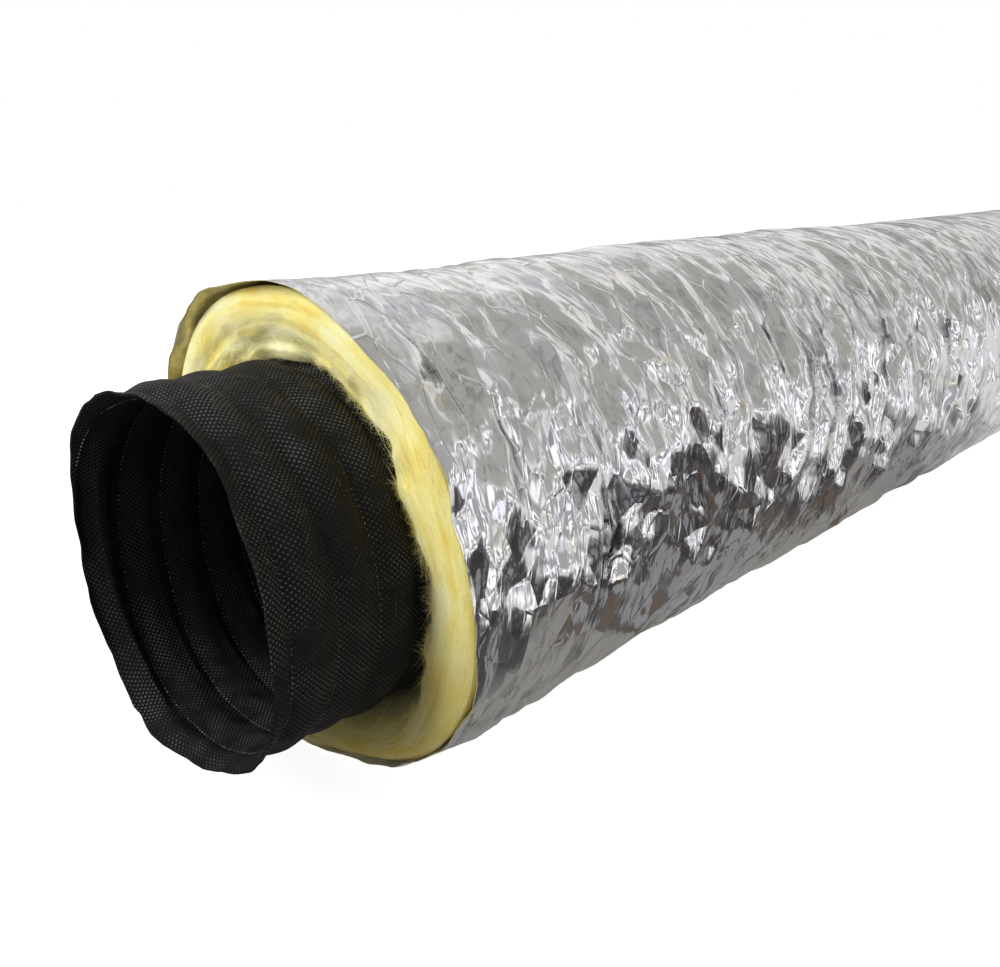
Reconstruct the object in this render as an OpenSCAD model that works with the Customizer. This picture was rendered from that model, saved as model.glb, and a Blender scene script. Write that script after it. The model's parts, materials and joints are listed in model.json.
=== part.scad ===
// Insulated flexible air duct, a cut piece that lies on its side.
// The axis runs along +X, with the near mouth's centre at the origin and +Z up.
// A two-ply liner holds a spring wire. A blanket slides on the liner, and a jacket on the blanket.

/* [Connection] */
// Diameter of the round spigot that either end of the liner slips over
spigot_d = 125; // [80:1:250]
// Play between the spigot and the liner, on the diameter
spigot_play = 2; // [1:0.5:4]

/* [Liner] */
// Length of the cut piece, measured along the liner
liner_l = 1000; // [400:10:1400]
// Thickness of the inner ply
inner_ply_t = 0.5; // [0.3:0.1:1.2]
// Thickness of the outer ply at the bottom of its grooves
outer_ply_t = 0.6; // [0.4:0.1:1.5]
// Height of a rib above the groove beside it
rib_h = 1.6; // [0.6:0.1:3]
// Flat sides that each rib has around the liner
rib_sides = 24; // [16:4:28]

/* [Wire] */
// Diameter of the spring wire
wire_d = 1.4; // [0.8:0.1:2.5]
// Distance along the liner from one turn of the wire to the next
wire_pitch = 17.5; // [12:0.5:30]
// Least distance from a cut end of the liner to the wire
wire_inset = 8; // [6:1:20]
// Radial play of the wire in the pocket between the plies
wire_play = 0.1; // [0.05:0.05:0.3]

/* [Blanket] */
// Thickness of the glass wool blanket
blanket_t = 27; // [15:1:60]
// Length of liner that stands out of the blanket at each end
bare_l = 55; // [20:1:120]
// Play between the ribs and the blanket, and between the blanket and the jacket
slide_play = 0.3; // [0.3:0.1:1]

/* [Jacket] */
// Thickness that the crinkled film of the jacket takes up
film_t = 1.2; // [0.6:0.1:2.5]
// Length by which the jacket stands out past each face of the blanket
film_lip = 2; // [0:1:15]

/* [Underside] */
// Depth of the flat that the duct's own weight presses into its underside
flat_depth = 8; // [2:0.5:10]

/* [Hidden] */

// Length that a cutting tool runs past a face
cut = 5;
// Sides of the drawn circles, fine enough for walls this thin on a radius this large
$fn = 240;

// Radii, from the bore outwards
bore_r = (spigot_d + spigot_play) / 2;
inner_ply_r = bore_r + inner_ply_t;
wire_r = wire_d / 2;
wire_path_r = inner_ply_r + wire_play + wire_r;
quarter_rise = wire_pitch / 4;
wire_arc_r = norm([wire_path_r, quarter_rise]);
pocket_r = wire_arc_r + wire_r + wire_play;
groove_r = (pocket_r + outer_ply_t) / cos(180 / rib_sides);
crest_r = groove_r + rib_h;
blanket_bore_r = crest_r + slide_play;
blanket_r = blanket_bore_r + blanket_t;
film_bore_r = blanket_r + slide_play;
film_r = film_bore_r + film_t;

// Lengths along the duct
blanket_l = liner_l - 2 * bare_l;
film_l = blanket_l + 2 * film_lip;

// Height of the underside, on which the duct stands
underside_z = flat_depth - film_r;

// The wire is a chain of half turns. Each lies in its own tilted plane, so that one ends where
// the next begins and both run the same way there.
// A collar joins each half turn to the next, and stands out by half of the wire's play.
collar_h = wire_play / 2;
// Flat sides round the drawn wire, few because it is hidden between the plies
wire_sides = 8;
half_turns = floor(2 * (liner_l - 2 * wire_inset) / wire_pitch);
last_way = half_turns % 2 == 0 ? 1 : -1;
wire_tilt = atan(quarter_rise / wire_path_r);
wire_start = (liner_l - half_turns * wire_pitch / 2) / 2;

// A point of the wire's middle line, t half turns from its start
function wire_point(t) =
    let (k = floor(t), turned = 180 * (t - k), side = k % 2 == 0 ? 1 : -1)
    [wire_start + k * wire_pitch / 2 + quarter_rise * (1 - cos(turned)),
     side * wire_path_r * cos(turned),
     side * wire_arc_r * sin(turned)];

// Least gap between the wire and its next turn, measured on points
gap_steps = 24;
wire_gap = min([for (i = [0 : gap_steps], j = [gap_steps : 3 * gap_steps])
    norm(wire_point(i / gap_steps) - wire_point(1 + j / gap_steps))]) - wire_d;
echo(least_gap_of_the_wire_to_itself = wire_gap);

// The ribs wind as the wire does: a point of the ribbed surface at step k along it, column j
// round it. Even steps are grooves and odd steps are crests, and a crest lies over the wire.
rib_steps = 2 * ceil(liner_l / wire_pitch) + 6;
steps_before_wire = 5;
function rib_point(k, j) =
    let (r = k % 2 == 0 ? groove_r : crest_r, turned = 360 * j / rib_sides)
    [wire_start + wire_pitch * ((k - steps_before_wire) / 2 + turned / 360),
     r * cos(turned), r * sin(turned)];

function rib_index(k, j) = j == rib_sides ? rib_index(k + 2, 0) : k * rib_sides + j;

// Draws its children, which stand on the XY plane, along the duct instead
module along_duct(start) {
    translate([start, 0, 0]) rotate([90, 0, 90]) children();
}

// An outline of flat sides that all touch a circle of radius r from outside
module flat_sided(r, sides) {
    polygon([for (j = [0 : sides - 1]) let (turned = 360 * j / sides)
        r / cos(180 / sides) * [cos(turned), sin(turned)]]);
}

// A round outline whose underside is pressed flat at the given height
module pressed_circle(r, flat_z) {
    intersection() {
        circle(r = r);
        translate([-2 * r, flat_z]) square([4 * r, 4 * r]);
    }
}

// One half turn of the wire, k half turns from its start
module wire_half_turn(k) {
    translate([wire_start + k * wire_pitch / 2 + quarter_rise, 0, 0])
        rotate([180 * k, 0, 0])
            rotate([90, 0, 90])
                rotate([0, wire_tilt, 0])
                    rotate_extrude(angle = 180, $fn = 72)
                        translate([wire_arc_r, 0])
                            circle(r = wire_r, $fn = wire_sides);
}

// A short round bar along the wire, which runs upright where half turn k begins
module wire_bar(k, low, high, r) {
    translate(wire_point(k) + [0, 0, low]) cylinder(h = high - low, r = r, $fn = 16);
}

// A rod with the ribs wound round it, longer than the liner at both ends
module ribbed_rod() {
    points = [for (k = [0 : rib_steps], j = [0 : rib_sides - 1]) rib_point(k, j)];
    first_hub = len(points);
    last_hub = first_hub + 1;
    hubs = [[rib_point(0, 0)[0], 0, 0], [rib_point(rib_steps, 0)[0], 0, 0]];
    // Rows of the winding whose both edges exist at every column
    rows = rib_steps - 3;
    side_faces = [for (k = [0 : rows], j = [0 : rib_sides - 1], half = [0, 1])
        let (a = rib_index(k, j), b = rib_index(k, j + 1))
        let (c = rib_index(k + 1, j), d = rib_index(k + 1, j + 1))
        half == 0 ? [a, c, b] : [b, c, d]];
    first_cap = concat(
        [for (j = [0 : rib_sides - 1]) [first_hub, rib_index(0, j), rib_index(0, j + 1)]],
        [for (k = [1, 0]) [first_hub, rib_index(k + 1, 0), rib_index(k, 0)]]);
    top = rows + 1;
    last_cap = concat(
        [for (j = [0 : rib_sides - 1]) [last_hub, rib_index(top, j + 1), rib_index(top, j)]],
        [for (k = [0, 1]) [last_hub, rib_index(top + k, 0), rib_index(top + k + 1, 0)]]);
    polyhedron(points = concat(points, hubs), faces = concat(side_faces, first_cap, last_cap));
}

// Plain inner ply: its inside is the bore that slips over a spigot
module liner_inner_ply() {
    color([0.10, 0.10, 0.11])
        difference() {
            along_duct(0) cylinder(h = liner_l, r = inner_ply_r);
            along_duct(-cut) cylinder(h = liner_l + 2 * cut, r = bore_r);
        }
}

// Spring wire, one unbroken tube held between the plies
module wire_helix() {
    color([0.55, 0.56, 0.58])
        union() {
            for (k = [0 : half_turns - 1]) wire_half_turn(k);
            for (k = [0 : half_turns]) wire_bar(k, -wire_r / 2, wire_r / 2, wire_r + collar_h);
            wire_bar(0, -wire_d, 0, wire_r);
            wire_bar(half_turns, min(0, last_way * wire_d), max(0, last_way * wire_d), wire_r);
        }
}

// Outer ply: its ribs show on the bare ends of the liner
module liner_outer_ply() {
    color([0.16, 0.16, 0.17])
        difference() {
            intersection() {
                ribbed_rod();
                along_duct(0) cylinder(h = liner_l, r = 2 * crest_r);
            }
            along_duct(-cut) linear_extrude(height = liner_l + 2 * cut) flat_sided(pocket_r, rib_sides);
        }
}

// Glass wool blanket, a thick soft sleeve round the liner
module glass_wool_blanket() {
    color([0.90, 0.83, 0.50])
        along_duct(bare_l)
            linear_extrude(height = blanket_l)
                difference() {
                    pressed_circle(blanket_r, underside_z + film_t + slide_play);
                    circle(r = blanket_bore_r);
                }
}

// Foil jacket, a thin sleeve round the blanket
module foil_jacket() {
    color([0.74, 0.74, 0.76])
        along_duct(bare_l - film_lip)
            linear_extrude(height = film_l)
                difference() {
                    pressed_circle(film_r, underside_z);
                    pressed_circle(film_bore_r, underside_z + film_t);
                }
}

liner_inner_ply();
wire_helix();
liner_outer_ply();
glass_wool_blanket();
foil_jacket();
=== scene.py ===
# %% [markdown]
# # An insulated flexible air duct
#
# The real duct is five thin things in one another. A black liner of two cloth plies carries the
# air, a spring wire between the plies keeps it round, a sleeve of glass wool keeps it warm, and a
# jacket of metallised film keeps the wool in. This lesson dresses the exact CAD model of that duct:
# each soft CAD solid is replaced by a mesh with its folds, ribs, fibres and creases, and rides on
# the same body, so that it slides as the solid does.
#
# Most shapes here are sleeves. A sleeve is easiest to make as rings of points round the X axis:
# numpy works out how far every point stands from the axis, and one helper joins the rings with
# quads. Modifiers could bend a plain tube too, but formulas keep the folds where they belong.

import json
import math

import bpy
import numpy as np
from mathutils import Matrix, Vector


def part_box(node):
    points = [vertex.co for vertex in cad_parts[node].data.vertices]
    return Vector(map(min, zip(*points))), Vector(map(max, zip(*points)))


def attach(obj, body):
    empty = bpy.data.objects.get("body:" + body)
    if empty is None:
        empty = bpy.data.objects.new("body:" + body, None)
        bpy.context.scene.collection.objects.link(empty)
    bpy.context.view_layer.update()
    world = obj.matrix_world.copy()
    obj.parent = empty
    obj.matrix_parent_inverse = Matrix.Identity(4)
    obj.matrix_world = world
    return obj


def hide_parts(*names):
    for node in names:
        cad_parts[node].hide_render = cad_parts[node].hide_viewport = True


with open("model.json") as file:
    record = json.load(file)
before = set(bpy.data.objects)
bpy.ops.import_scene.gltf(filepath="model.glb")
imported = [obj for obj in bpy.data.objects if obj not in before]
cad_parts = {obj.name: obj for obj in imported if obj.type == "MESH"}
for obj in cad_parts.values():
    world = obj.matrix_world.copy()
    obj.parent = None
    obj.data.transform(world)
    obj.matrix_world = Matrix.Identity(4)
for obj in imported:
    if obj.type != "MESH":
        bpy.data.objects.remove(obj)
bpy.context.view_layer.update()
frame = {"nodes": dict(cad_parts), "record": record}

MM = 0.001
liner_low, liner_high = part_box("liner_outer_ply")
wool_low, wool_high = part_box("glass_wool_blanket")
film_low, film_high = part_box("foil_jacket")
bore_r = frame["record"]["mounts"][0]["dims"]["r_mm"] * MM
crest_r = liner_high.y
wool_r = wool_high.y
film_r = film_high.y
floor_z = film_low.z
print("nodes", sorted(frame["nodes"]))
print("radii: crest", crest_r, "wool", wool_r, "film", film_r, "floor at", floor_z)

# %% [markdown]
# ## Two kinds of noise
#
# Cloth and wool vary softly, while film bends along straight creases between flat facets. Both can
# come from random heights on a grid. Blending the heights with a smooth curve gives soft lumps, and
# joining them with flat triangles gives facets. Both repeat after one turn round the duct, so that
# no line shows where the ends of a ring meet. The seeds are fixed, so every run is the same.

# %% Soft noise and faceted noise
NOISE_ROWS = 2048
FIRST_ROW = 64


def noise_cells(u, v, cells_round, seed):
    """The four random heights round each point, and how far the point is between them."""
    heights = np.random.default_rng(seed).uniform(-1, 1, (NOISE_ROWS, cells_round))
    row, column = np.floor(u).astype(int), np.floor(v).astype(int)
    between_u, between_v = u - row, v - column
    row, next_row = (row + FIRST_ROW) % NOISE_ROWS, (row + FIRST_ROW + 1) % NOISE_ROWS
    column, next_column = column % cells_round, (column + 1) % cells_round
    corners = (heights[row, column], heights[next_row, column],
               heights[row, next_column], heights[next_row, next_column])
    return corners, between_u, between_v


def soft_noise(u, v, cells_round, seed):
    """Smooth lumps from -1 to 1. v counts cells round the duct."""
    (a, b, c, d), fu, fv = noise_cells(u, v, cells_round, seed)
    fu, fv = fu * fu * (3 - 2 * fu), fv * fv * (3 - 2 * fv)
    return (a * (1 - fu) + b * fu) * (1 - fv) + (c * (1 - fu) + d * fu) * fv


def facet_noise(u, v, cells_round, seed):
    """Flat triangles between random heights, which meet in sharp creases."""
    (a, b, c, d), fu, fv = noise_cells(u, v, cells_round, seed)
    lower = a + fu * (b - a) + fv * (c - a)
    upper = d + (1 - fu) * (c - d) + (1 - fv) * (b - d)
    return np.where(fu + fv < 1, lower, upper)


def smooth_step(x, low, high):
    """0 up to low and 1 from high on, with a smooth change between."""
    t = np.clip((x - low) / (high - low), 0, 1)
    return t * t * (3 - 2 * t)


def round_profile(points, phi):
    """A smooth value for each angle from a few (degrees, value) pairs that go once round."""
    angles, values = np.radians([p[0] for p in points]), np.array([p[1] for p in points], float)
    spread = np.radians(np.array([-8.0, -4.0, 0.0, 4.0, 8.0]))
    return sum(np.interp(phi + s, angles, values, period=2 * math.pi) for s in spread) / len(spread)


thirds = np.arange(4) / 3
print("soft noise from a corner to the next", soft_noise(thirds, 0 * thirds, 8, 1).round(2))
print("faceted noise there", facet_noise(thirds, 0 * thirds, 8, 1).round(2))


# %% Points, directions and meshes round the duct
def point_at(x, r, phi):
    """Points at a distance r from the axis. The angle phi runs from +Y toward +Z."""
    return np.stack([x + 0 * r, r * np.cos(phi), r * np.sin(phi)], -1)


def round_directions(phi):
    """The ways outwards and onwards round the duct."""
    out = np.stack([0 * phi, np.cos(phi), np.sin(phi)], -1)
    side = np.stack([0 * phi, -np.sin(phi), np.cos(phi)], -1)
    return out, side


def unit(v):
    return v / (np.linalg.norm(v, axis=-1, keepdims=True) + 1e-9)


def mesh_of(name, points, quads, uv):
    """A smooth mesh of quads with a UV map in metres."""
    mesh = bpy.data.meshes.new(name)
    mesh.vertices.add(len(points))
    mesh.vertices.foreach_set("co", np.asarray(points, np.float32).ravel())
    mesh.loops.add(quads.size)
    mesh.loops.foreach_set("vertex_index", quads.astype(np.int32).ravel())
    mesh.polygons.add(len(quads))
    first_loops = np.arange(0, quads.size, quads.shape[1], dtype=np.int32)
    mesh.polygons.foreach_set("loop_start", first_loops)
    mesh.polygons.foreach_set("use_smooth", np.ones(len(quads), bool))
    mesh.update(calc_edges=True)
    if uv is not None:
        mesh.uv_layers.new(name="lay").data.foreach_set("uv", np.asarray(uv, np.float32).ravel())
    mesh.validate()
    piece = bpy.data.objects.new(name, mesh)
    bpy.context.scene.collection.objects.link(piece)
    return piece


# %% Rings of points become a sleeve
def sleeve(name, x, r, phi, lay_u):
    """A closed thick sleeve. x and r hold a row for each ring, and the last ring joins the first.
    The UV map is lay_u along the section and the arc length round the duct."""
    rings, columns = r.shape
    points = point_at(x, r, phi).reshape(-1, 3)
    ring, column = np.meshgrid(np.arange(rings), np.arange(columns), indexing="ij")
    next_ring, next_column = (ring + 1) % rings, (column + 1) % columns
    corners = [(ring, column), (ring, next_column), (next_ring, next_column), (next_ring, column)]
    quads = np.stack([a * columns + b for a, b in corners], -1).reshape(-1, 4)
    u = np.append(lay_u, lay_u[-1])
    v = np.append(phi, phi[0] + 2 * math.pi) * float(r.mean())
    steps = [(0, 0), (0, 1), (1, 1), (1, 0)]
    uv = np.stack([np.stack([u[ring + a], v[column + b]], -1) for a, b in steps], -2)
    piece = mesh_of(name, points, quads, uv)
    print(name, len(quads), "quads")
    return piece


def angles_round(columns):
    return np.arange(columns) * 2 * math.pi / columns


def from_end(x, low, high):
    """Distance along the duct to the nearer end of a box."""
    return np.minimum(x - low.x, high.x - x)


def spaced(low, high, fine, coarse, fine_length):
    """Places from low to high, fine near both ends and coarse between."""
    near = np.arange(low, low + fine_length, fine)
    far = np.arange(high, high - fine_length, -fine)[::-1]
    middle = np.linspace(near[-1], far[0], int((far[0] - near[-1]) / coarse) + 1)[1:-1]
    return np.concatenate([near, middle, far])


# %% [markdown]
# ## The camera
#
# A camera is a place, three directions and a lens. Writing the directions as the columns of its
# matrix is exact, and needs no target object. The lens follows from the focal length in pixels.

# %% Camera
IMAGE_WIDTH = 1000
FOCAL_PIXELS = 936.4
camera_place = (-0.13089, -0.28467, 0.13565)
camera_right = np.array([0.68806, -0.72565, 0.0])
camera_up = np.array([0.23360, 0.22150, 0.94677])
camera_back = np.cross(camera_right, camera_up)

camera_data = bpy.data.cameras.new("camera")
camera_data.sensor_fit = "HORIZONTAL"
camera_data.sensor_width = 36.0
camera_data.lens = FOCAL_PIXELS * camera_data.sensor_width / IMAGE_WIDTH
camera_data.clip_start = 0.01
camera = bpy.data.objects.new("camera", camera_data)
camera.matrix_world = Matrix([
    [*(float(axis[i]) for axis in (camera_right, camera_up, camera_back)), camera_place[i]]
    for i in range(3)] + [[0, 0, 0, 1]])
bpy.context.scene.collection.objects.link(camera)
bpy.context.scene.camera = camera
print("lens", round(camera_data.lens, 2), "mm")

# %% [markdown]
# ## Node helpers
#
# Every finish is a small graph of nodes. The shader editor is the usual place to draw one. These
# helpers add a node and join it in one line instead, so that a material below reads from its
# pattern to its shader.

# %% Short names for shader nodes
def new_material(name):
    material = bpy.data.materials.new(name)
    material.use_nodes = True
    tree = material.node_tree
    return material, tree, tree.nodes["Principled BSDF"]


def feed(tree, socket, value):
    if isinstance(value, bpy.types.NodeSocket):
        tree.links.new(value, socket)
    else:
        socket.default_value = value


def set_inputs(tree, node, values):
    for name, value in values.items():
        feed(tree, node.inputs[name], value)


def two_inputs(tree, kind, operation, a, b):
    node = tree.nodes.new(kind)
    node.operation = operation
    feed(tree, node.inputs[0], a)
    feed(tree, node.inputs[1], b)
    return node.outputs[0]


def math_node(tree, operation, a, b=0.0):
    return two_inputs(tree, "ShaderNodeMath", operation, a, b)


def vector_node(tree, operation, a, b=(0, 0, 0)):
    return two_inputs(tree, "ShaderNodeVectorMath", operation, a, b)


def multiplied(tree, a, b):
    return math_node(tree, "MULTIPLY", a, b)


def added(tree, a, b):
    return math_node(tree, "ADD", a, b)


def component(tree, vector, axis):
    """The X, Y or Z of a vector."""
    node = tree.nodes.new("ShaderNodeSeparateXYZ")
    tree.links.new(vector, node.inputs[0])
    return node.outputs[axis]


# %% Short names for colours and patterns
def rgba(colour):
    """A colour with its alpha. One number stands for a grey."""
    return (*colour, 1) if isinstance(colour, tuple) else (colour, colour, colour, 1)


def ramp(tree, value, stops):
    """Colours at places from 0 to 1."""
    node = tree.nodes.new("ShaderNodeValToRGB")
    elements = node.color_ramp.elements
    while len(elements) < len(stops):
        elements.new(0.5)
    for element, (place, colour) in zip(elements, stops):
        element.position, element.color = place, rgba(colour)
    feed(tree, node.inputs[0], value)
    return node.outputs[0]


def blend_colours(tree, factor, a, b, kind="MIX"):
    node = tree.nodes.new("ShaderNodeMix")
    node.data_type, node.blend_type = "RGBA", kind
    feed(tree, node.inputs["Factor"], factor)
    for socket, colour in ((node.inputs[6], a), (node.inputs[7], b)):
        feed(tree, socket, colour if isinstance(colour, bpy.types.NodeSocket) else rgba(colour))
    return node.outputs[2]


def shaded(tree, colour, shade):
    return blend_colours(tree, 1.0, colour, shade, "MULTIPLY")


def lay_coordinates(tree, scale=(1, 1, 1), turn=0.0):
    """The sleeve's own UV map in metres, scaled and turned."""
    uv = tree.nodes.new("ShaderNodeUVMap")
    uv.uv_map = "lay"
    mapping = tree.nodes.new("ShaderNodeMapping")
    mapping.inputs["Scale"].default_value = scale
    mapping.inputs["Rotation"].default_value = (0, 0, turn)
    tree.links.new(uv.outputs[0], mapping.inputs["Vector"])
    return mapping.outputs[0]


def object_coordinates(tree, scale=(1, 1, 1)):
    place = tree.nodes.new("ShaderNodeTexCoord")
    mapping = tree.nodes.new("ShaderNodeMapping")
    mapping.inputs["Scale"].default_value = scale
    tree.links.new(place.outputs["Object"], mapping.inputs["Vector"])
    return mapping.outputs[0]


def noise_node(tree, vector, scale, detail=3.0, roughness=0.5):
    node = tree.nodes.new("ShaderNodeTexNoise")
    set_inputs(tree, node, {"Vector": vector, "Scale": scale, "Detail": detail,
                            "Roughness": roughness})
    return node.outputs["Fac"]


def patches(tree, vector, scale, detail, roughness, stops):
    """Noise turned into colours."""
    return ramp(tree, noise_node(tree, vector, scale, detail, roughness), stops)


def smooth_range(tree, value, low, high):
    """0 where the value is low and 1 where it is high, with a smooth change between."""
    node = tree.nodes.new("ShaderNodeMapRange")
    node.interpolation_type = "SMOOTHSTEP"
    set_inputs(tree, node, {"Value": value, "From Min": low, "From Max": high})
    return node.outputs[0]


def bump_node(tree, height, depth, strength=1.0):
    node = tree.nodes.new("ShaderNodeBump")
    set_inputs(tree, node, {"Strength": strength, "Distance": depth, "Height": height})
    return node.outputs[0]


# %% [markdown]
# ## Liner: the black cloth
#
# The cloth is spun-bonded: loose plastic fibres pressed together at a lattice of small points. A
# picture could show the points, but a lattice is simple enough to work out from the UV map. Each
# lattice cell has one pressed point, which is smooth, a little sunk and lighter than the fibres
# round it. Yellow lint from the wool clings to the cloth in patches. Shade is painted into the
# colour by height: darker towards the bottom outside, and towards the top inside.

# %% Spun-bonded cloth
POINT_PITCH = 1.42 * MM
LATTICE_TURN = math.radians(42)


def bond_points(tree):
    """1 in the middle of each pressed point of the cloth, 0 between the points."""
    cell = lay_coordinates(tree, (1 / POINT_PITCH, 1 / POINT_PITCH, 1), LATTICE_TURN)
    in_cell = vector_node(tree, "FRACTION", cell)
    distance = vector_node(tree, "DISTANCE", in_cell, (0.5, 0.5, 0)).node.outputs["Value"]
    return smooth_range(tree, distance, 0.33, 0.13)


def black_cloth(name, fibre_tone, point_colour, lint, painted_shade_by_height):
    material, tree, shader = new_material(name)
    points = bond_points(tree)
    fibres = noise_node(tree, lay_coordinates(tree), 2600, 4, 0.7)
    place = object_coordinates(tree)
    rubbed = patches(tree, place, 48, 4, 0.65, [(0.42, 0.02), (0.60, 1)])
    dark = ramp(tree, fibres, [(0.3, 0.25 * fibre_tone),
                               (0.75, (fibre_tone, 0.97 * fibre_tone, 0.92 * fibre_tone))])
    cloth = blend_colours(tree, multiplied(tree, points, rubbed), dark, point_colour)
    lint_places = patches(tree, place, 120, 6, 0.8, [(0.56, 0), (0.80, lint)])
    cloth = blend_colours(tree, lint_places, cloth, (0.085, 0.080, 0.035))
    # Painted shade by height: the outside is darker towards the bottom, the inside towards the top
    height_share = added(tree, multiplied(tree, component(tree, place, "Z"), 7.0), 0.5)
    sunk = math_node(tree, "SUBTRACT", multiplied(tree, fibres, 0.5), points)
    set_inputs(tree, shader, {
        "Base Color": shaded(tree, cloth, ramp(tree, height_share, painted_shade_by_height)),
        "Roughness": ramp(tree, points, [(0.0, 0.85), (1.0, 0.45)]),
        "Specular IOR Level": 0.22,
        "Normal": bump_node(tree, sunk, 0.12 * MM, 0.8)})
    return material


# Painted shade as (share of the liner's height, brightness)
outer_cloth = black_cloth("outer_ply_cloth", 0.019, (0.125, 0.125, 0.122), 0.50,
                          [(0.10, 0.25), (0.38, 0.80), (0.75, 0.85), (0.92, 1.0)])
# The inside is the same cloth in darker tones: painted shade inside the duct
inner_cloth_painted_shade = black_cloth("inner_ply_cloth_painted_shade", 0.012, (0.100, 0.100, 0.098), 0.03,
                          [(0.05, 1.0), (0.32, 0.62), (0.60, 0.42), (0.90, 0.30)])
print("points of the cloth", round(POINT_PITCH / MM, 2), "mm apart")

# %% [markdown]
# ## Liner: ribs between dotted welds
#
# The two plies are one strip wound in a helix and welded along its edge with a dotted line. Between
# the welds the wire holds the plies apart, so the outside swells into ribs and the inside into
# pillows, with a sharp valley at each weld. A screw modifier could wind one rib, but the loose ends
# lean and wrinkle. A formula handles both: a point's place in its rib is its distance along the
# duct, less its share of a turn.

# %% Where a point lies between two welds
WIRE_PITCH = 17.5 * MM
WELD_START = 18.75 * MM
# The loose ends have been pulled about, so their welds lean a little from the true helix.
END_SHIFT, END_LEAN, END_LEAN_AT = -1.7 * MM, 2.7 * MM, math.radians(75)


def weld_drift(x, phi):
    near_end = 1 - smooth_step(x, 0.06, 0.12)
    return near_end * (END_SHIFT + END_LEAN * np.cos(phi - END_LEAN_AT))


def rib_place(x, phi):
    """0 at a weld, 0.5 over the wire and 1 at the next weld."""
    return ((x - WELD_START - weld_drift(x, phi)) / WIRE_PITCH - phi / (2 * math.pi)) % 1.0


def weld_x(turn, phi):
    """Where weld number turn crosses the angle phi."""
    x = WELD_START + WIRE_PITCH * (turn + phi / (2 * math.pi))
    for _ in range(4):
        x = WELD_START + WIRE_PITCH * (turn + phi / (2 * math.pi)) + weld_drift(x, phi)
    return x


print("welds along the duct", int(liner_high.x / WIRE_PITCH))


# %% The cut ends of the liner
# Handling has pushed the near mouth out of round: (degrees, mm from the true circle)
MOUTH_PUSH = [(-175, 2.2), (-150, 2.6), (-128, 0.0), (-112, -2.6), (-92, -3.8), (-78, -2.4),
              (-62, 2.2), (-45, 1.2), (-25, 1.8), (-5, 2.6), (17, 2.6), (35, 1.4), (50, 0.2),
              (68, -3.2), (84, -2.4), (100, -1.8), (145, -1.6), (168, 0.8)]
# How far in from a mouth the push and the creases fade away
MOUTH_REACH = 22 * MM
CRUMPLE_REACH = 9 * MM


def end_push(x, phi):
    """How far the cloth is pushed outwards near the two mouths."""
    push = round_profile(MOUTH_PUSH, phi) * MM
    near = np.exp(-np.maximum(x, 0) / MOUTH_REACH)
    far = np.exp(-np.maximum(liner_high.x - x, 0) / MOUTH_REACH)
    return push * near + push[::-1] * far


def end_crumple(x, phi):
    """The last centimetre of cloth has no wire in it, so it is creased."""
    share = phi / (2 * math.pi)
    depth = np.maximum(from_end(x, liner_low, liner_high), 0)
    creases = facet_noise(x / 0.009, share * 22 + x / 0.03, 22, 43)
    ripples = soft_noise(x / 0.004, share * 64, 64, 44)
    return (1.7 * creases + 0.4 * ripples) * MM * np.exp(-depth / CRUMPLE_REACH)


def cut_wave(phi, seed):
    """The cut through the cloth runs in and out by a millimetre or two."""
    share = phi / (2 * math.pi)
    slow = soft_noise(0 * phi, share * 9, 9, seed)
    quick = facet_noise(0 * phi + 0.5, share * 38, 38, seed + 1)
    return (2.0 * slow + 1.0 * quick) * MM


push_values = [value for _, value in MOUTH_PUSH]
print("mouth pushed in by", -min(push_values), "mm and out by", max(push_values), "mm")

# %% Outer and inner surfaces of the liner
VALLEY_R = crest_r - 2.4 * MM
WELD_R = bore_r + 1.9 * MM
# Where the wire's first turn starts, and how far out the inner ply lies on it
WIRE_START, WIRE_FLOOR_R = 10 * MM, 63.95 * MM
# Between these distances from a mouth the loose ribs become the calm ones under the wool
BARE_END = (52 * MM, 66 * MM)


def rib_height(place):
    return 1 - np.abs(2 * place - 1) ** 1.9


def bare(x):
    """1 on the bare ends of the liner, 0 under the wool."""
    return 1 - smooth_step(from_end(x, liner_low, liner_high), *BARE_END)


def outer_surface(x, phi):
    place, share = rib_place(x, phi), phi / (2 * math.pi)
    height = rib_height(place)
    swell = 1 + 0.24 * soft_noise(x / 0.025, share * 16, 16, 21)
    dents = soft_noise(x / 0.011, share * 20 + x / 0.03, 20, 25) * (0.35 + 0.65 * height)
    lean = soft_noise(x / 0.006, share * 36 + x / 0.02, 36, 22)
    pucker = np.abs(soft_noise(x / 0.010, share * 44 - x / 0.015, 44, 23))
    fine = soft_noise(x / 0.003, share * 130, 130, 24)
    near_weld = (2 * np.abs(place - 0.5)) ** 2
    puckers = 1.7 * pucker * near_weld * height
    form = (0.45 * dents * bare(x) + 0.34 * lean - puckers + 0.10 * fine) * MM
    rib = (2.4 + 0.9 * bare(x)) * MM * swell * height
    return VALLEY_R + rib + form + end_push(x, phi) + end_crumple(x, phi)


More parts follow.
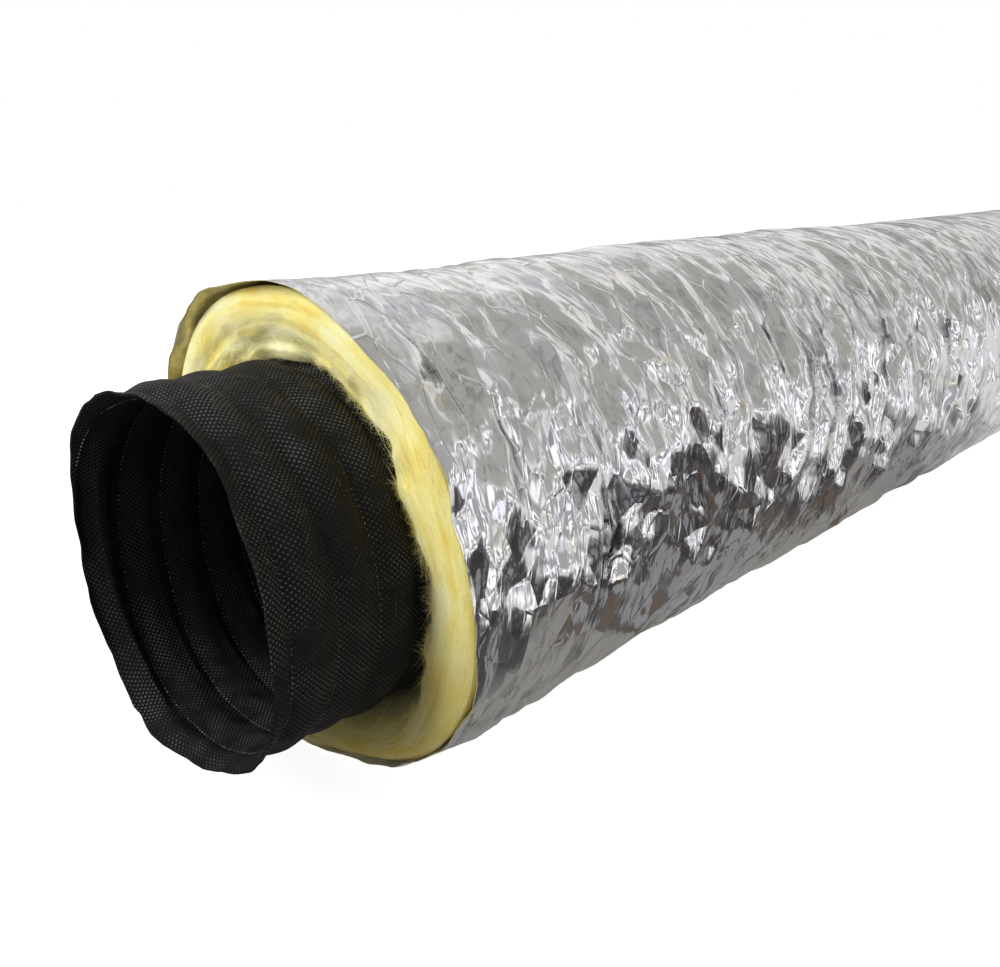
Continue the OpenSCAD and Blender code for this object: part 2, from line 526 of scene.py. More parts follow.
def inner_surface(x, phi):
    place, share = rib_place(x, phi), phi / (2 * math.pi)
    height = rib_height(place)
    swell = 1 + 0.2 * soft_noise(x / 0.03, share * 12, 12, 31)
    pucker = np.abs(soft_noise(x / 0.012, share * 30 + x / 0.02, 30, 32))
    lean = soft_noise(x / 0.007, share * 26 - x / 0.02, 26, 34)
    fine = soft_noise(x / 0.003, share * 120, 120, 33)
    near_weld = (2 * np.abs(place - 0.5)) ** 2
    form = (1.9 * pucker * near_weld * height + 0.45 * lean * height + 0.09 * fine) * MM
    r = WELD_R - 2.1 * MM * swell * height + form + end_push(x, phi)
    # The ply lies over the wire, on the air's side of it
    turns = (x - WIRE_START) / WIRE_PITCH - share
    beside_wire = np.abs(turns - np.round(turns)) * WIRE_PITCH
    over_wire = WIRE_FLOOR_R + np.maximum(0, beside_wire - 2.0 * MM)
    return np.where(x > 0.008, np.minimum(r, over_wire), r)


print("valleys", round(VALLEY_R / MM, 2), "mm from the axis, welds inside", round(WELD_R / MM, 2))


# %% [markdown]
# ## Liner: two plies
#
# At a cut end the plies close on each other, so the edge of the liner is thin. A solidify modifier
# could thicken one surface, but the ribs outside and the pillows inside differ. So the outer and
# the inner ply are two pieces that meet between them, on a surface that bulges with the ribs.

# %% Build the two plies
EDGE_THICKNESS = 0.9 * MM
PLY_COLUMNS = 320
phi_liner = angles_round(PLY_COLUMNS)
x_fine = spaced(liner_low.x, liner_high.x, 0.85 * MM, 3.6 * MM, 0.12)[:, None]


CUT_REACH = 12 * MM
CLOSED_LENGTH = 9 * MM


def cut_x(x, phi):
    """Rings near the ends follow the wavy cut."""
    near, far = np.exp(-(x - liner_low.x) / CUT_REACH), np.exp(-(liner_high.x - x) / CUT_REACH)
    return x + near * cut_wave(phi, 41) - far * cut_wave(phi, 51)


def closing(x):
    """0 at a cut end, and 1 past the length where the plies close on each other."""
    return smooth_step(from_end(x, liner_low, liner_high), 0, CLOSED_LENGTH)


x_outer = cut_x(x_fine, phi_liner)
r_outer = outer_surface(x_fine, phi_liner)
r_inner = inner_surface(x_fine, phi_liner)
r_inner = r_outer - EDGE_THICKNESS + (r_inner - r_outer + EDGE_THICKNESS) * closing(x_fine)
r_middle = (r_outer + r_inner) / 2
half_gap = 0.05 * MM
for node, outside, inside, finish in (
        ("liner_outer_ply", r_outer, r_middle + half_gap, outer_cloth),
        ("liner_inner_ply", r_middle - half_gap, r_inner, inner_cloth_painted_shade)):
    ply = sleeve(node + "_cloth", np.concatenate([x_outer, x_outer[::-1]]),
                 np.concatenate([outside, inside[::-1]]), phi_liner,
                 np.concatenate([x_fine[:, 0], x_fine[::-1, 0]]))
    ply.data.materials.append(finish)
    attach(ply, "liner")
    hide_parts(node)

# %% [markdown]
# ## Liner: weld dots
#
# The welding wheel leaves a row of small shiny bumps. A bump map would show them, but not on the
# outline of the mouth. Each is a flat double cone instead: it is closed, and has only twelve faces,
# so thousands of them stay light. They follow the same helix as the valleys.

# %% Weld dots
DOT_PITCH = 1.9 * MM


def weld_dots(name, radius, surface, depth, height, material):
    """A row of dots along every weld, as deep as depth into the liner from each mouth."""
    turns = np.arange(-2, int(liner_high.x / WIRE_PITCH) + 2)
    phi = np.arange(0, 2 * math.pi, DOT_PITCH / bore_r)
    turn, phi = (a.ravel() for a in np.meshgrid(turns, phi, indexing="ij"))
    x = weld_x(turn, phi)
    into = from_end(x, liner_low, liner_high)
    keep = (into > 2.5 * MM) & (into < depth)
    x, phi = x[keep], phi[keep]
    size = radius * np.random.default_rng(61).uniform(0.35, 1.15, len(x))
    middle = point_at(x, surface(x, phi), phi)
    out, side = round_directions(phi)
    along = np.array([1.0, 0, 0])
    ring = [middle + size[:, None] * (math.cos(a) * side * 1.25 + math.sin(a) * along)
            for a in np.arange(6) * math.pi / 3]
    points = np.stack([middle + height * out, middle - height * out, *ring], 1)
    faces = ([(0, 2 + k, 2 + (k + 1) % 6) for k in range(6)]
             + [(1, 2 + (k + 1) % 6, 2 + k) for k in range(6)])
    triangles = (np.arange(len(x)) * 8)[:, None, None] + np.array(faces)[None]
    piece = mesh_of(name, points.reshape(-1, 3), triangles.reshape(-1, 3), None)
    piece.data.materials.append(material)
    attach(piece, "liner")
    print(name, len(x), "dots")


def weld_finish(name, colour):
    material, tree, shader = new_material(name)
    shades = [(0.3, tuple(0.45 * c for c in colour)), (0.7, colour)]
    set_inputs(tree, shader, {
        "Base Color": patches(tree, object_coordinates(tree), 900, 2, 0.5, shades),
        "Roughness": 0.38})
    return material


weld_dots("outer_weld_dots", 0.36 * MM, lambda x, phi: outer_surface(x, phi) + 0.05 * MM,
          0.118, 0.28 * MM, weld_finish("outer_weld_plastic", (0.30, 0.30, 0.29)))
weld_dots("inner_weld_dots", 0.38 * MM, lambda x, phi: inner_surface(x, phi) - 0.05 * MM,
          0.30, 0.30 * MM, weld_finish("inner_weld_plastic", (0.34, 0.34, 0.33)))

# %% [markdown]
# ## Spring wire
#
# The wire is a rigid CAD part whose shape is right. It could be built again as a curve with a round
# bevel, but nothing would be gained, so its node stays and only gets a finish. Wire is drawn
# through a die, which leaves fine lines along it, and the steel has a satin gloss.

# %% Drawn steel wire
wire_steel, tree, shader = new_material("drawn_spring_steel")
draw_marks = noise_node(tree, object_coordinates(tree, (1, 40, 40)), 60, 4, 0.6)
set_inputs(tree, shader, {
    "Base Color": ramp(tree, draw_marks, [(0.3, (0.42, 0.43, 0.45)), (0.7, (0.62, 0.63, 0.65))]),
    "Metallic": 1.0,
    "Roughness": 0.35,
    "Normal": bump_node(tree, draw_marks, 0.02 * MM)})
wire = frame["nodes"]["wire_helix"]
wire.data.materials.clear()
wire.data.materials.append(wire_steel)
print("the wire keeps its", len(wire.data.polygons), "faces")

# %% [markdown]
# ## Glass wool: the sleeve
#
# Glass wool is laid down in thin layers and wound round the liner, so its cut face shows strands
# that run round the ring. Lumps and torn hollows sit on top. The layers can be noise that is long
# round the duct and short across it. Loose fibres come after, because a surface alone looks like
# felt.

# %% Shape of the wool's cut faces
WOOL_INNER_R = crest_r + 0.35 * MM
WOOL_OUTER_R = wool_r - 1.8 * MM
DRAWN_IN = 1.4 * MM
WOOL_FLAT_Z = wool_low.z + 1.2 * MM
# A hand-made cut is never square: (degrees, mm that the wool lies back at the liner)
CUT_SLOPE = [(40, 6), (60, 6), (80, 5.5), (98, 6), (115, 6), (130, 5.5), (138, 4.5), (147, 1),
             (160, 2), (174, 6), (-173, 4), (-159, 9), (-137, 12), (-110, 8), (-60, 6), (0, 7)]
# Mm that the whole face lies back, where the film stands past it
CUT_BACK = [(-160, 0), (0, 0.5), (25, 1.0), (45, 1.6), (66, 1.6), (84, 0.6), (100, 0.3), (150, 0)]
# Mm by which the wool has come away from the liner below
CUT_GAP = [(-160, 0.3), (-150, 2.5), (-140, 6), (-130, 7.5), (-118, 6.5), (-104, 3.5), (-92, 2.0),
           (-75, 1.0), (-55, 0.3), (0, 0), (90, 0), (180, 0)]

# Where wool and film were pulled about at the rim when the duct was cut: (degrees, mm outwards)
RIM_PUSH = [(-176, 4.2), (-161, 6.0), (-152, 5.2), (-146, 3.8), (-139, 0.8), (-133, -2.0),
            (-127, -4.2), (-121, -6.0), (-114, -8.0), (-106, -9.6), (-98, -8.6), (-88, -6.0),
            (-75, -2.6), (-55, 0.0), (-20, 0.5), (10, 0.4), (33, -1.2), (39, 0.2), (44, 4.0),
            (50, 5.0), (57, 5.4), (66, 3.8), (78, 1.2), (90, 3.6), (103, 0.4), (118, -1.0),
            (128, -1.2), (137, 0.8), (146, 2.4), (154, 2.8), (164, 2.0), (174, 2.8)]
RIM_REACH = 22 * MM
# How far the jacket slides on the blanket, and a little more because the rims are uneven
SLIDE_ROOM = (50 + 4) * MM


def rim_push(x, phi, kept=0.0):
    """How far the rims are pushed outwards. The push stays the same over the kept length."""
    face_depth = wool_low.x - film_low.x
    near, far = (np.exp(-np.maximum(behind - kept, np.clip(behind, 0, face_depth)) / RIM_REACH)
                 for behind in (x - film_low.x, film_high.x - x))
    at_near, at_far = round_profile(RIM_PUSH, phi), round_profile(RIM_PUSH, math.pi - phi)
    return MM * (at_near * near + 0.6 * at_far * far)


def wool_side(x, phi):
    """Outer radius of the wool. It is drawn in behind its faces, which leaves room for the film.
    Where the rims are pressed in, it stays pressed as far as the jacket's lip slides over it."""
    drawn_in = DRAWN_IN * smooth_step(from_end(x, wool_low, wool_high), 0.010, 0.030)
    push = np.minimum(rim_push(x, phi), rim_push(x, phi, SLIDE_ROOM))
    return WOOL_OUTER_R - drawn_in + np.where(push > 0, 0.75, 1.0) * push


def pressed(r, phi, flat_z):
    """A radius cut short where the underside is pressed flat, with a soft corner."""
    flat_r = -flat_z / np.maximum(-np.sin(phi), 1e-3)
    soft = 2.5 * MM
    return np.minimum(r, flat_r) - soft / 4 * np.maximum(0, 1 - np.abs(r - flat_r) / soft) ** 2


# %% A point of a cut face
def face_shape(phi, way):
    """Slope, set-back and gap of a cut face. way is -1 at the near face and 1 at the far one."""
    turned = (phi if way < 0 else math.pi - phi) % (2 * math.pi)
    return [round_profile(points, turned) * MM for points in (CUT_SLOPE, CUT_BACK, CUT_GAP)]


def wool_span(phi, way):
    """Inner radius and thickness of the wool at a cut face."""
    inner = WOOL_INNER_R + face_shape(phi, way)[2]
    side = wool_side(wool_low.x if way < 0 else wool_high.x, phi)
    return inner, pressed(side, phi, WOOL_FLAT_Z) - inner


def wool_layers(phi, across, seed):
    """Strands that run round the ring. across is the distance out from the liner."""
    share = phi / (2 * math.pi)
    wander = 2.6 * MM * soft_noise(across / 0.012, share * 15, 15, seed)
    coarse = soft_noise((across + wander) / 0.0036, share * 24, 24, seed + 1)
    fine = soft_noise((across + wander) / 0.0012, share * 56, 56, seed + 2)
    return 0.7 * coarse + 0.3 * fine


def face_x(plane_x, way, phi, across, thickness, seed):
    """Where the cut face lies along the duct."""
    slope, back, _ = face_shape(phi, way)
    share, t = phi / (2 * math.pi), np.clip(across / thickness, 0, 1)
    crown = 3.6 * MM * (1 - np.abs(2 * t - 1) ** 2.6) - (2.0 - 1.2 * t) * MM
    lumps = 1.0 * MM * soft_noise(across / 0.011, share * 24, 24, seed + 3)
    hollows = np.maximum(0, soft_noise(across / 0.007, share * 44, 44, seed + 4) - 0.25)
    torn = hollows * (1 - t) ** 1.5
    lobes = (2.8 * soft_noise(0 * phi, share * 34, 34, seed + 6)
             + 1.8 * soft_noise(0 * phi, share * 83, 83, seed + 7)) * MM * (1 - t) ** 3.5
    bulge = crown + lumps + lobes - 6 * MM * torn + 0.5 * MM * wool_layers(phi, across, seed)
    return plane_x + way * (bulge - back - slope * (1 - t) ** 1.4)


print("wool from", round(WOOL_INNER_R / MM, 1), "to", round(WOOL_OUTER_R / MM, 1), "mm out")


# %% Build the wool sleeve
WOOL_COLUMNS = 720
phi_wool = angles_round(WOOL_COLUMNS)
share_wool = phi_wool / (2 * math.pi)
face_steps = np.linspace(0, 1, 46)[:, None]


def wool_face(plane_x, way, seed):
    """Rings of a cut face from the liner outwards."""
    inner, thickness = wool_span(phi_wool, way)
    across = face_steps * thickness
    frayed = 0.35 * MM * soft_noise(0 * phi_wool, share_wool * 70, 70, seed + 5) * (1 - face_steps)
    return face_x(plane_x, way, phi_wool, across, thickness, seed), inner + across + frayed


NEAR_SEED, FAR_SEED = 80, 90
near_x, near_r = wool_face(wool_low.x, -1, NEAR_SEED)
far_x, far_r = wool_face(wool_high.x, 1, FAR_SEED)
# Rings along the bore, where the gap at the liner fades away
into_bore = np.array([2, 5, 9, 14, 22, 35, 60, 150, 300])[:, None] * MM
gap_left = np.exp(-into_bore / (14 * MM))
inner_near_x, inner_far_x = near_x[0] + into_bore, far_x[0] - into_bore
inner_near_r, inner_far_r = (WOOL_INNER_R + (r[0] - WOOL_INNER_R) * gap_left
                             for r in (near_r, far_r))
outer_x = spaced(wool_low.x + 0.008, wool_high.x - 0.008, 1.8 * MM, 14 * MM, 0.066)[:, None]
outer_lumps = (soft_noise(outer_x / 0.012, share_wool * 44, 44, 72)
               + soft_noise(outer_x / 0.004, share_wool * 120, 120, 73))
outer_r = (pressed(wool_side(outer_x, phi_wool), phi_wool, WOOL_FLAT_Z)
           - 0.35 * MM + 0.30 * MM * outer_lumps)
section_x = np.concatenate([inner_far_x, inner_near_x[::-1], near_x, outer_x + 0 * phi_wool,
                            far_x[::-1]])
section_r = np.concatenate([inner_far_r, inner_near_r[::-1], near_r, outer_r, far_r[::-1]])
steps = np.hypot(np.diff(section_x.mean(1)), np.diff(section_r.mean(1)))
wool_lay = np.concatenate([[0], np.cumsum(steps)])
wool = sleeve("glass_wool_sleeve", section_x, section_r, phi_wool, wool_lay)
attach(wool, "blanket")
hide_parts("glass_wool_blanket")

# %% [markdown]
# ## Glass wool: colour
#
# The binder turns the glass yellow, unevenly: cream where the fibres are loose, gold where the
# layers are dense. Painting that by hand would take a picture. The colour follows the layers, so a
# noise stretched round the duct gives it, and a little light scatters inside to keep the wool soft.

# %% Wool finish
def wool_finish(name, shades, softness=0.0):
    material, tree, shader = new_material(name)
    layers = noise_node(tree, lay_coordinates(tree, (1, 0.12, 1)), 260, 4, 0.5)
    clouds = noise_node(tree, object_coordinates(tree), 34, 3, 0.5)
    mixed = added(tree, multiplied(tree, layers, 0.45), multiplied(tree, clouds, 0.55))
    # Painted shade: the wool is darker and a deeper yellow towards the underside
    height = component(tree, object_coordinates(tree), "Z")
    painted_underside_shade = ramp(tree, added(tree, multiplied(tree, height, 5.0), 0.5),
                   [(0.1, (1, 0.91, 0.66)), (0.5, (1, 0.97, 0.86)), (0.9, 1)])
    fuzz = noise_node(tree, lay_coordinates(tree, (1, 0.16, 1)), 1500, 5, 0.7)
    clumps = noise_node(tree, lay_coordinates(tree, (1, 0.5, 1)), 420, 4, 0.65)
    raised = added(tree, multiplied(tree, fuzz, 0.3), multiplied(tree, clumps, 0.9))
    set_inputs(tree, shader, {
        "Base Color": shaded(tree, ramp(tree, mixed, shades), painted_underside_shade),
        "Subsurface Weight": softness,
        "Subsurface Radius": (1.0, 0.85, 0.35),
        "Subsurface Scale": 5 * MM,
        "Roughness": 0.95,
        "Specular IOR Level": 0.15,
        "Sheen Weight": 0.3,
        "Sheen Roughness": 0.5,
        "Sheen Tint": (1.0, 0.97, 0.82, 1),
        "Normal": bump_node(tree, raised, 0.75 * MM, 0.8)})
    return material


wool.data.materials.append(wool_finish("glass_wool_fibre", [
    (0.34, (0.84, 0.60, 0.12)), (0.42, (0.88, 0.74, 0.22)), (0.50, (0.91, 0.84, 0.36)),
    (0.62, (0.94, 0.91, 0.56))], softness=0.4))
strand_finish = wool_finish("glass_wool_strand", [
    (0.36, (0.89, 0.77, 0.26)), (0.48, (0.92, 0.87, 0.43)), (0.62, (0.95, 0.93, 0.62))])
print("finish of the wool", wool.data.materials[0].name, "and of its fibres", strand_finish.name)

# %% [markdown]
# ## Glass wool: loose fibres
#
# Blender has a hair system, but hair isn't part of a mesh and would be lost with the model. Thin
# ribbons are: each fibre is a strip of quads along a short bent line. Most lie along the layers of
# the cut face, and tufts at the liner lean inwards over the black cloth.

# %% Ribbons for fibres
FIBRE_JOINTS = 6


def ribbons(name, start, heading, bend, length, width, facing, material, body, limit=None):
    """One ribbon for each start point, which sets off along heading and turns towards bend.
    limit gives the most that a point may stand from the duct's axis."""
    t = np.linspace(0, 1, FIBRE_JOINTS)[None, :, None]
    line = start[:, None] + length[:, None, None] * (heading[:, None] * t + bend[:, None] * t * t)
    if limit:
        most = limit(line[..., 0], np.arctan2(line[..., 2], line[..., 1]))
        line[..., 1:] *= np.minimum(1, most / np.hypot(line[..., 1], line[..., 2]))[..., None]
    across = np.cross(heading, facing)
    across /= np.linalg.norm(across, axis=1, keepdims=True) + 1e-9
    taper = (1 - 0.75 * t) * width[:, None, None] / 2
    sides = np.stack([line - across[:, None] * taper, line + across[:, None] * taper], 2)
    points = sides.reshape(-1, 3)
    first = 2 * (np.arange(len(start))[:, None] * FIBRE_JOINTS + np.arange(FIBRE_JOINTS - 1)[None])
    quads = np.stack([first, first + 1, first + 3, first + 2], -1).reshape(-1, 4)
    uv = np.stack([points[quads, 0], points[quads, 1]], -1)
    piece = mesh_of(name, points, quads, uv)
    piece.data.materials.append(material)
    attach(piece, body)
    print(name, len(start), "fibres")
    return piece


# %% Loose fibres on a cut face
# Kind: how many, mm off the face, mm long, mm wide, share that stands off, waviness
FACE_FIBRES = {"strands": (7000, -0.3, (3, 10), (0.06, 0.16), (-0.02, 0.12), 0.12),
               "curls": (8000, -0.2, (1.0, 3.6), (0.04, 0.08), (0.0, 0.7), 0.45)}
TUFTS, TUFT_FIBRES = 300, 80


def on_face(plane_x, way, phi, t, lift, seed):
    """Points on a cut face, at share t of its thickness."""
    inner, thickness = wool_span(phi, way)
    x = face_x(plane_x, way, phi, t * thickness, thickness, seed) + way * lift
    r = inner + t * thickness
    return point_at(x, r, phi), r


def fibre_limit(x, phi):
    """Fibres stay inside the film."""
    return pressed(wool_side(x, phi), phi, WOOL_FLAT_Z) - 0.2 * MM


def face_fibres(name, plane_x, way, seed):
    random = np.random.default_rng(seed + 500)
    forward = np.array([way, 0.0, 0.0])

    def spread(count, low, high):
        return random.uniform(low, high, count)

    # Strands that lie along the layers, then thin curls that stand off them
    for kind, (count, lift, length, width, off, waviness) in FACE_FIBRES.items():
        phi, t = spread(count, 0, 2 * math.pi), spread(count, 0.02, 0.97)
        start, r = on_face(plane_x, way, phi, t, lift * MM, seed)
        out, side = round_directions(phi)
        turn = random.choice([-1.0, 1.0], count)[:, None]
        heading = unit(side * turn + out * random.normal(0, 0.3, (count, 1))
                       + forward * spread(count, *off)[:, None])
        lengths = spread(count, *length) * MM
        bend = -0.5 * out * (lengths / r)[:, None] + random.normal(0, waviness, (count, 3))
        ribbons(name + "_" + kind, start, heading, bend, lengths, spread(count, *width) * MM,
                out + 0.5 * forward, strand_finish, "blanket", fibre_limit)

    # Tufts at the liner: many thin fibres from nearly one place, which lie over the cloth
    count = TUFTS * TUFT_FIBRES
    tuft_phi = spread(TUFTS, 0, 2 * math.pi)
    size = np.repeat(0.4 + spread(TUFTS, 0, 1.15) ** 5, TUFT_FIBRES)
    lean = np.repeat(random.normal(0, 0.8, TUFTS), TUFT_FIBRES)
    phi = np.repeat(tuft_phi, TUFT_FIBRES) + random.normal(0, 0.028, count)
    start, r = on_face(plane_x, way, phi % (2 * math.pi), spread(count, 0.0, 0.07), -0.4 * MM, seed)
    out, side = round_directions(phi)
    heading = unit(forward * spread(count, 0.5, 1.2)[:, None] - 0.10 * out
                   + side * (1.3 * lean + random.normal(0, 1.1, count))[:, None])
    lengths = size * spread(count, 0.5, 2.2) * MM
    bend = 0.12 * out + random.normal(0, 0.40, (count, 3))
    ribbons(name + "_tufts", start, heading, bend, lengths, spread(count, 0.05, 0.13) * MM, out,
            strand_finish, "blanket", fibre_limit)


face_fibres("near_wool", wool_low.x, -1, NEAR_SEED)
face_fibres("far_wool", wool_high.x, 1, FAR_SEED)

# %% [markdown]
# ## Foil jacket: the crinkles
#
# The film is thin polyester with a metal coat. Packing and handling leave long creases that run
# round the duct, short ones across them, and flat facets between. A cloth simulation could crumple
# it, but no two runs would keep it clear of the wool. Here each set of folds is a row of flat
# slopes that meet in straight creases, slanted a little and bent by faceted noise, and several sets
# are added up. The film is drawn smooth over the top and under the weight below, and crumples most
# on the flanks. It stays outside the wool at every place that the jacket slides to.

# %% Shape of the film
FILM_BASE_R = film_r - 0.8 * MM
FILM_FLAT_Z = floor_z + 0.15 * MM
# Looseness of the film over the top and along the lower front: (mm along the duct, mm outwards)
LOOSE_TOP = [(53, -0.5), (109, -1.2), (142, -1.2), (174, 0.3), (222, 0), (260, 1.6),
             (330, 1.0), (373, 0.2), (416, 1.6), (476, 0.6), (530, -1.0), (947, -1.0)]
LOOSE_FRONT = [(53, -1.2), (109, 0), (163, -1.2), (222, -0.8), (292, -0.5), (346, 0.5),
               (400, 1.2), (460, 0.2), (513, 2.0), (605, 3.5), (700, 3.5), (947, 2.5)]


def loose(x, phi, points, middle, width):
    along = np.interp(x / MM, *np.array(points, float).T) * MM
    away = (phi - math.radians(middle) + math.pi) % (2 * math.pi) - math.pi
    return along * np.exp(-(away / math.radians(width)) ** 2)


def folds(x, share, length, turns_round, warp):
    """Flat slopes from -1 to 1 that meet in straight creases, one every half length along the duct.
    turns_round sets how much they lean, and is whole so that they meet after one turn."""
    t = x / length + turns_round * share + warp
    return 4 * np.abs(t - np.round(t)) - 1


def crumple(x, phi):
    """Height of the creases, in metres: fine, broad and middling folds, and steep ones across."""
    share = phi / (2 * math.pi)
    warp_a = facet_noise(x / 0.033, share * 14, 14, 101)
    warp_b = facet_noise(x / 0.027, share * 19, 19, 102)
    warp_c = facet_noise(x / 0.052, share * 9, 9, 103)
    patch_a = 0.5 + 0.5 * facet_noise(x / 0.036, share * 12, 12, 104)
    patch_b = 0.5 + 0.5 * facet_noise(x / 0.029, share * 15, 15, 105)
    flank = np.clip(1.35 * np.abs(np.cos(phi + 0.10)) - 0.18, 0, 1)
    rough = flank * (1 - 0.45 * smooth_step(x, 0.45, 0.80))
    long_folds = (0.22 * folds(x, share, 0.0128, 3, 0.5 * warp_a) * (0.3 + patch_a)
                  + 0.12 * folds(x, share, 0.0084, -5, 0.5 * warp_b) * (0.3 + patch_b))
    broad = (1.10 * folds(x, share, 0.043, 6, 0.45 * warp_c)
             + 0.85 * folds(x, share, 0.066, -8, 0.4 * warp_a))
    middle = (1.05 * folds(x, share, 0.0235, 7, 0.7 * warp_c) * (0.35 + 0.65 * patch_b)
              + 0.30 * folds(x, share, 0.0160, -11, 0.6 * warp_a) * (0.25 + 0.75 * patch_a))
    across = (0.75 * folds(x, share, 0.075, 16, 0.5 * warp_b)
              + 0.52 * folds(x, share, 0.047, -27, 0.5 * warp_a))
    return MM * (long_folds + broad * (0.25 + 0.75 * rough) + middle * (0.14 + 0.95 * rough)
                 + across * (0.08 + 0.92 * rough))


# %% The film stays over the wool
def passing_wool(x, phi):
    """Outer radius of the wool that passes under a place on the film as the jacket slides."""
    return np.maximum(*(wool_side(np.clip(x + slid, wool_low.x, wool_high.x), phi)
                        for slid in (-SLIDE_ROOM, SLIDE_ROOM)))


def film_surface(x, phi):
    slack = loose(x, phi, LOOSE_TOP, 83, 38) + loose(x, phi, LOOSE_FRONT, -135, 30)
    round_r = FILM_BASE_R + slack + crumple(x, phi) + rim_push(x, phi)
    least_r = np.maximum(wool_side(x, phi) + 0.6 * MM, passing_wool(x, phi) + 0.5 * MM)
    return pressed(np.maximum(round_r, least_r), phi, FILM_FLAT_Z)


film_at_middle = film_surface(0.5, angles_round(360)) / MM
print("film half way", film_at_middle.min().round(1), "to", film_at_middle.max().round(1), "mm out")


# %% Build the film
FILM_COLUMNS = 384
FILM_THICKNESS = 0.25 * MM
# How far the film stands past the body's own rim at the near end: (degrees, mm)
NEAR_LIP = [(-170, 0.4), (-150, -0.6), (-130, -1.2), (-95, -1.2), (-60, -0.5), (-20, 0.0),
            (20, 0.0), (40, -0.4), (56, 0.6), (66, 1.4), (80, 1.8), (90, 1.2), (100, 0.4),
            (140, 0.2), (165, 0.4)]
LIP_REACH = 10 * MM
phi_film = angles_round(FILM_COLUMNS)
# The rings are closer where the creases are seen from near by
FINE_UNTIL, FAR_END = 0.36, film_high.x - 0.05
film_x = np.concatenate([np.arange(film_low.x, FINE_UNTIL, 1.0 * MM),
                         np.arange(FINE_UNTIL, FAR_END, 1.6 * MM),
                         np.linspace(FAR_END, film_high.x, 44)])[:, None]
ragged = 0.7 * MM * facet_noise(0 * phi_film + 0.5, phi_film / (2 * math.pi) * 80, 80, 121)
lip = round_profile(NEAR_LIP, phi_film) * MM + ragged
near_pull = np.exp(-(film_x - film_low.x) / LIP_REACH)
far_pull = np.exp(-(film_high.x - film_x) / LIP_REACH)
x_film = film_x - lip * near_pull + 0.5 * lip[::-1] * far_pull
r_film = film_surface(film_x, phi_film)
# Away from the ends nobody sees the inside, so there it is a plain sleeve just over the wool
hidden = smooth_step(from_end(film_x, film_low, film_high), 0.020, 0.036)
plain_r = np.maximum(wool_side(film_x, phi_film), passing_wool(film_x, phi_film)) + 0.35 * MM
plain_inside = pressed(plain_r, phi_film, FILM_FLAT_Z) - 0.1 * MM
behind_film = r_film - FILM_THICKNESS
r_inside = behind_film * (1 - hidden) + np.minimum(plain_inside, behind_film) * hidden
# Inside, every ring is kept near the ends, and every eighth between
FINE_NEAR, FINE_FAR, RING_STEP = 64, 52, 8
last = len(film_x)
inside_rows = np.unique(np.concatenate([
    np.arange(FINE_NEAR), np.arange(FINE_NEAR, last - FINE_FAR, RING_STEP),
    np.arange(last - FINE_FAR, last)]))[::-1]
film = sleeve("foil_film_jacket", np.concatenate([x_film, x_film[inside_rows]]),
              np.concatenate([r_film, r_inside[inside_rows]]), phi_film,
              np.concatenate([film_x[:, 0], film_x[inside_rows, 0]]))
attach(film, "jacket")
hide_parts("foil_jacket")
print("film stands", (r_film.min() / MM).round(1), "to", (r_film.max() / MM).round(1), "mm out")

# %% [markdown]
# ## Foil jacket: finish
#
# The metal coat is bright and a little worn: faint brown and lilac tints show where the coat is
# thin or the light splits in the polyester. Between the folds the real film is made of hundreds of
# small flat facets. As geometry they would need millions of faces, so each Voronoi cell tilts the
# normal in a way of its own, and bump adds the creases between the cells. The inside is plain
# polyester over the coat, so it looks tan. One mesh carries both finishes, chosen by face.

# %% Film finishes
def film_cells(tree, feature, width, length, lean):
    """Straight-sided cells, with their width along the duct and their length round it."""
    mapping = lay_coordinates(tree, (width, length, 1), lean).node
    mapping.vector_type = "TEXTURE"
    node = tree.nodes.new("ShaderNodeTexVoronoi")
    node.feature = feature
    set_inputs(tree, node, {"Vector": mapping.outputs[0], "Scale": 1.0})
    return node


def creased_cells(tree, width, length, lean):
    """Distance from the edges of the cells: flat slopes that meet in creases, like small tents."""
    return film_cells(tree, "DISTANCE_TO_EDGE", width, length, lean).outputs["Distance"]


def facet_tilt(tree, width, length, lean, amount):
    """A tilt of its own for each cell, which makes it a flat facet."""
    random_colour = film_cells(tree, "F1", width, length, lean).outputs["Color"]
    random_way = vector_node(tree, "SUBTRACT", random_colour, (0.5, 0.5, 0.5))
    return vector_node(tree, "MULTIPLY", random_way, (amount, amount, amount))


# %% The coat outside
film_coat, tree, shader = new_material("metallised_film")
# Creases are sharpest on the flanks, where the film is loose
place = object_coordinates(tree)
away = math_node(tree, "ABSOLUTE", component(tree, place, "Y"))
flank = math_node(tree, "MINIMUM", multiplied(tree, away, 10.5), 1.0)
rough = added(tree, multiplied(tree, math_node(tree, "POWER", flank, 1.3), 0.8), 0.2)
# Facets in three sizes: large and middling ones where the film is loose, thin slivers everywhere
LARGE = (17 * MM, 30 * MM, 0.16)
loose_tilt = vector_node(tree, "ADD", facet_tilt(tree, *LARGE, 0.52),
                         facet_tilt(tree, 10 * MM, 19 * MM, -0.20, 0.26))
scaled_tilt = vector_node(tree, "SCALE", loose_tilt)
tree.links.new(rough, scaled_tilt.node.inputs["Scale"])
sliver_tilt = facet_tilt(tree, 4.5 * MM, 32 * MM, 0.18, 0.12)
facing = tree.nodes.new("ShaderNodeNewGeometry").outputs["Normal"]
facing = vector_node(tree, "ADD", vector_node(tree, "ADD", facing, scaled_tilt), sliver_tilt)
facing = vector_node(tree, "NORMALIZE", facing)
large_cells = creased_cells(tree, *LARGE)
height = multiplied(tree, multiplied(tree, large_cells, 0.9), rough)
slivers = creased_cells(tree, 3.4 * MM, 26 * MM, 0.14)
height = added(tree, multiplied(tree, slivers, 0.11), height)
